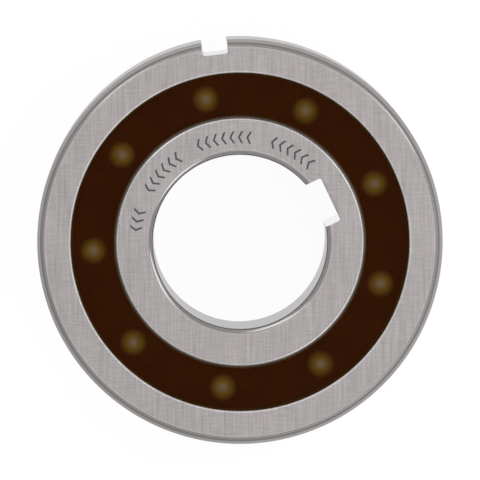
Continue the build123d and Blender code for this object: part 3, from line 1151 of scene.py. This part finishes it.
class CLUTCH_OT_sprags(bpy.types.Operator):
    """Give the sprags their tumbled steel"""

    bl_idname = "clutch.sprags"
    bl_label = "Sprags"

    def execute(self, context):
        colour = context.scene.clutch_inside.sprag_colour
        steel = plain_steel("Sprag steel", colour, rough=0.32, fineness=7000.0, relief=0.2)
        for node in SPRAGS:
            dress(node, steel)
        return {"FINISHED"}


class CLUTCH_OT_garter_springs(bpy.types.Operator):
    """Wind both garter springs"""

    bl_idname = "clutch.garter_springs"
    bl_label = "Garter springs"

    def execute(self, context):
        settings = context.scene.clutch_inside
        wire = plain_steel("Spring wire", settings.wire_colour, rough=0.25, fineness=12000.0, relief=0.1)
        for node in GARTER_SPRINGS:
            low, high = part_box(node)
            coil_radius = (high.z - low.z) / 2
            coil = coil_object(node + "_coil", high.x - coil_radius, coil_radius, middle(node).z, settings)
            settle(coil, "cage", "spring_steel", wire, node)
        return {"FINISHED"}


# The stage

# Half the floor's side, and the distances past the races and the rim at which its shading changes
FLOOR_REACH = 3.0
RACE_NEAR, RACE_FAR = 0.3 * MM, 0.6 * MM
RIM_NEAR, RIM_FAR = 0.5 * MM, 3 * MM


def white_for_viewers(tree):
    """1 for rays that look at the background themselves or in metal or glass, otherwise 0."""
    path = tree.nodes.new("ShaderNodeLightPath").outputs
    seen = maths(tree, "MAXIMUM", path["Is Camera Ray"], path["Is Glossy Ray"])
    return maths(tree, "MAXIMUM", seen, path["Is Transmission Ray"])


def mix_shader(tree, factor, first, second):
    """A Mix Shader's result."""
    node = tree.nodes.new("ShaderNodeMixShader")
    for socket, value in zip(node.inputs, (factor, first, second)):
        feed(tree, socket, value)
    return node.outputs[0]


def open_floor(tree, place, glossy, settings):
    """How much of the floor's own white viewers see at a place, as a share.

    Between the races it is none, so that the floor there is only as bright as the light that reaches
    it. In the steel's mirroring the floor beside the rim loses a share too.
    """
    radius = polar(tree, place)[0]
    past_inner = fade(tree, radius, INNER_RACE_RADIUS - RACE_FAR, INNER_RACE_RADIUS - RACE_NEAR)
    within_outer = fade(tree, radius, OUTER_RACE_RADIUS + RACE_NEAR, OUTER_RACE_RADIUS + RACE_FAR, 1.0, 0.0)
    by_rim = fade(tree, radius, OUTSIDE_RADIUS + RIM_NEAR, OUTSIDE_RADIUS + RIM_FAR, 1.0, 0.0)
    by_rim = maths(tree, "MAXIMUM", within_outer, times(tree, by_rim, settings.rim_shade))
    shaded = mix(tree, glossy, within_outer, by_rim)
    return minus(tree, 1.0, times(tree, past_inner, shaded))


def floor_paint(settings):
    """White paint that looks white to viewers, keeps a soft shadow and is clear from beneath.

    It lights the clutch from below as evenly as the sky does from above.
    """
    material, tree, shader, place = new_material("Floor")
    dull, pale = (0.95, 0.95, 0.95, 1), (0.97, 0.97, 0.97, 1)
    grain = group(tree, blotch_group, Vector=place, Spots_per_metre=3.0)["Value"]
    feed(tree, shader["Base Color"], mix(tree, grain, dull, pale))
    feed(tree, shader["Roughness"], 0.9)
    feed(tree, shader["Specular IOR Level"], 0.0)
    path = tree.nodes.new("ShaderNodeLightPath").outputs
    seen = times(tree, white_for_viewers(tree), 1 - settings.floor_share)
    seen = times(tree, seen, open_floor(tree, place, path["Is Glossy Ray"], settings))
    from_clutch = times(tree, path["Is Diffuse Ray"], settings.sky_level)
    seen = maths(tree, "MAXIMUM", seen, from_clutch)
    lit = tree.nodes["Principled BSDF"].outputs[0]
    glow = tree.nodes.new("ShaderNodeEmission").outputs[0]
    clear = tree.nodes.new("ShaderNodeBsdfTransparent").outputs[0]
    beneath = tree.nodes.new("ShaderNodeNewGeometry").outputs["Backfacing"]
    surface = mix_shader(tree, beneath, mix_shader(tree, seen, lit, glow), clear)
    tree.links.new(surface, tree.nodes["Material Output"].inputs["Surface"])
    return material


def add_floor(settings):
    """A wide level floor just under the clutch."""
    level = -HALF_WIDTH - settings.floor_gap
    mesh = bpy.data.meshes.new("floor")
    square = ((-1, -1), (1, -1), (1, 1), (-1, 1))
    mesh.from_pydata([(x * FLOOR_REACH, y * FLOOR_REACH, level) for x, y in square], [], [(0, 1, 2, 3)])
    mesh.materials.append(floor_paint(settings))
    floor = bpy.data.objects.new("floor", mesh)
    bpy.context.scene.collection.objects.link(floor)


def add_sky(settings):
    """Even light from all round, which viewers see as white."""
    world = bpy.data.worlds.new("Sky")
    bpy.context.scene.world = world
    world.use_nodes = True
    tree = world.node_tree
    tree.nodes.clear()
    sky, white = tree.nodes.new("ShaderNodeBackground"), tree.nodes.new("ShaderNodeBackground")
    sky.inputs["Strength"].default_value = settings.sky_level
    for node in (sky, white):
        node.inputs["Color"].default_value = (1, 1, 1, 1)
    surface = mix_shader(tree, white_for_viewers(tree), sky.outputs[0], white.outputs[0])
    tree.links.new(surface, tree.nodes.new("ShaderNodeOutputWorld").inputs["Surface"])


def aim(item, place, target, up):
    """Puts a lamp or camera at a place, looking at a target, with its top towards up."""
    back = (place - target).normalized()
    right = up.cross(back).normalized()
    turn = Matrix((right, back.cross(right), back)).transposed().to_4x4()
    item.matrix_world = Matrix.Translation(place) @ turn


def add_lamp(name, azimuth, lean, size, settings):
    """A narrow soft lamp above the clutch, its lean and its long side both towards an azimuth."""
    lamp = bpy.data.lights.new(name, "AREA")
    lamp.shape = "RECTANGLE"
    lamp.size, lamp.size_y = size
    lamp.energy = settings.lamp_level * size[0] * size[1]
    item = bpy.data.objects.new(name, lamp)
    bpy.context.scene.collection.objects.link(item)
    outward = Vector((cos(azimuth), sin(azimuth), 0))
    axis = Vector((0, 0, 1))
    way = outward * sin(lean) + axis * cos(lean)
    aim(item, way * settings.lamp_distance, Vector((0, 0, 0)), axis)


def add_camera(settings):
    """The camera of the picture: almost along the clutch's axis, a little above it and to its left."""
    camera = bpy.data.cameras.new("camera")
    item = bpy.data.objects.new("camera", camera)
    bpy.context.scene.collection.objects.link(item)
    target = Vector((0, settings.frame_lift, HALF_WIDTH))
    way = Vector((-sin(settings.camera_swing), sin(settings.camera_tilt), cos(settings.camera_tilt)))
    place = target + way.normalized() * settings.camera_distance
    aim(item, place, target, Vector((0, 1, 0)))
    camera.lens = camera.sensor_width * settings.camera_distance / settings.frame_width
    camera.clip_start, camera.clip_end = 0.05, 20.0
    bpy.context.scene.camera = item


class CLUTCH_OT_stage(bpy.types.Operator):
    """Set the floor, sky, lamps and camera"""

    bl_idname = "clutch.stage"
    bl_label = "Stage"

    def execute(self, context):
        settings = context.scene.clutch_stage
        add_floor(settings)
        add_sky(settings)
        for azimuth in settings.high_azimuths:
            add_lamp("high_lamp", azimuth, settings.high_lean, settings.high_size, settings)
        for azimuth in settings.low_azimuths:
            add_lamp("low_lamp", azimuth, settings.low_lean, settings.low_size, settings)
        add_camera(settings)
        context.scene.view_settings.view_transform = "Standard"
        return {"FINISHED"}


class CLUTCH_PT_panel(bpy.types.Panel):
    """Lists the clutch's pieces in the sidebar"""

    bl_idname = "CLUTCH_PT_panel"
    bl_label = "Sprag clutch"
    bl_space_type = "VIEW_3D"
    bl_region_type = "UI"
    bl_category = "Clutch"

    def draw(self, context):
        for operator in OPERATORS:
            self.layout.operator(operator.bl_idname)
        for name in SETTINGS:
            box = self.layout.box()
            settings = getattr(context.scene, name)
            for label in settings.__annotations__:
                box.prop(settings, label)


OPERATORS = (CLUTCH_OT_outer_ring, CLUTCH_OT_inner_ring, CLUTCH_OT_cage, CLUTCH_OT_grease,
             CLUTCH_OT_balls, CLUTCH_OT_sprags, CLUTCH_OT_garter_springs, CLUTCH_OT_stage)
SETTINGS = {"clutch_rings": RingSettings, "clutch_cage": CageSettings,
            "clutch_inside": InsideSettings, "clutch_stage": StageSettings}


def register():
    """Adds the settings, operators and panel."""
    for kind in (*SETTINGS.values(), *OPERATORS, CLUTCH_PT_panel):
        bpy.utils.register_class(kind)
    for name, kind in SETTINGS.items():
        setattr(bpy.types.Scene, name, bpy.props.PointerProperty(type=kind))


def unregister():
    """Takes them away again."""
    for name in SETTINGS:
        delattr(bpy.types.Scene, name)
    for kind in reversed((*SETTINGS.values(), *OPERATORS, CLUTCH_PT_panel)):
        bpy.utils.unregister_class(kind)


def main():
    """Builds the whole look."""
    register()
    bpy.ops.clutch.outer_ring()
    bpy.ops.clutch.inner_ring()
    bpy.ops.clutch.cage()
    bpy.ops.clutch.grease()
    bpy.ops.clutch.balls()
    bpy.ops.clutch.sprags()
    bpy.ops.clutch.garter_springs()
    bpy.ops.clutch.stage()


if __name__ == "__main__":
    main()
